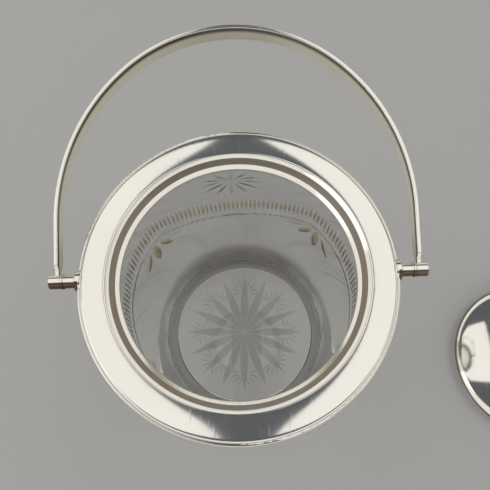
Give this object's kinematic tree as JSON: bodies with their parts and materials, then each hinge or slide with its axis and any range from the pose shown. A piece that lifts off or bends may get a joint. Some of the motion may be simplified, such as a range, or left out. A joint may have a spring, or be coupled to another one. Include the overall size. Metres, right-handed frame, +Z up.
{
  "type": "biscuit jar",
  "caption": "Cylindrical cut-glass biscuit jar with a wide silver-plated collar, a tapered strip bail handle on side hubs, and a domed lift-off lid standing beside it.",
  "frame": {"origin": "centre of the jar's foot, on the table", "axes": "+Z up along the jar's axis, X along the hinge axis of the handle with the lid standing at +X, +Y towards the side to which the handle leans"},
  "size_m": [0.3446, 0.1912, 0.2071],
  "materials": {
    "clear_glass": "clear, polished, with cut ornament",
    "silver_plate": "polished warm silver plate with fine wear",
    "nickel": "polished screw metal",
    "brass": "turned brass, dull",
    "plaster": "matte plaster"
  },
  "bodies": {
    "jar": {"glass_jar": "clear_glass", "cement_ring": "plaster", "neck_band": "silver_plate", "collar": "silver_plate", "rim_wire": "silver_plate", "left_boss": "silver_plate", "right_boss": "silver_plate", "left_post": "silver_plate", "right_post": "silver_plate", "left_washer": "silver_plate", "right_washer": "silver_plate", "left_screw": "nickel", "right_screw": "nickel"},
    "bail": {"left_knuckle": "silver_plate", "right_knuckle": "silver_plate", "bail_strip": "silver_plate"},
    "lid": {"lid_dome": "silver_plate", "lid_edge_wire": "silver_plate", "lid_bezel": "silver_plate", "finial_base": "silver_plate", "finial_knob": "silver_plate", "finial_stud": "brass", "finial_washer": "brass", "finial_nut": "brass"}
  },
  "joints": [
    {"name": "bail_swing", "type": "hinge", "parent": "jar", "child": "bail", "pos_m": [0, 0, 0.1785], "axis": [1, 0, 0], "range_deg": [-61, 217]},
    {"name": "lid_lift", "type": "slide", "parent": "jar", "child": "lid", "axis": [0, 0, 1], "range_m": [0, 0.2]}
  ]
}
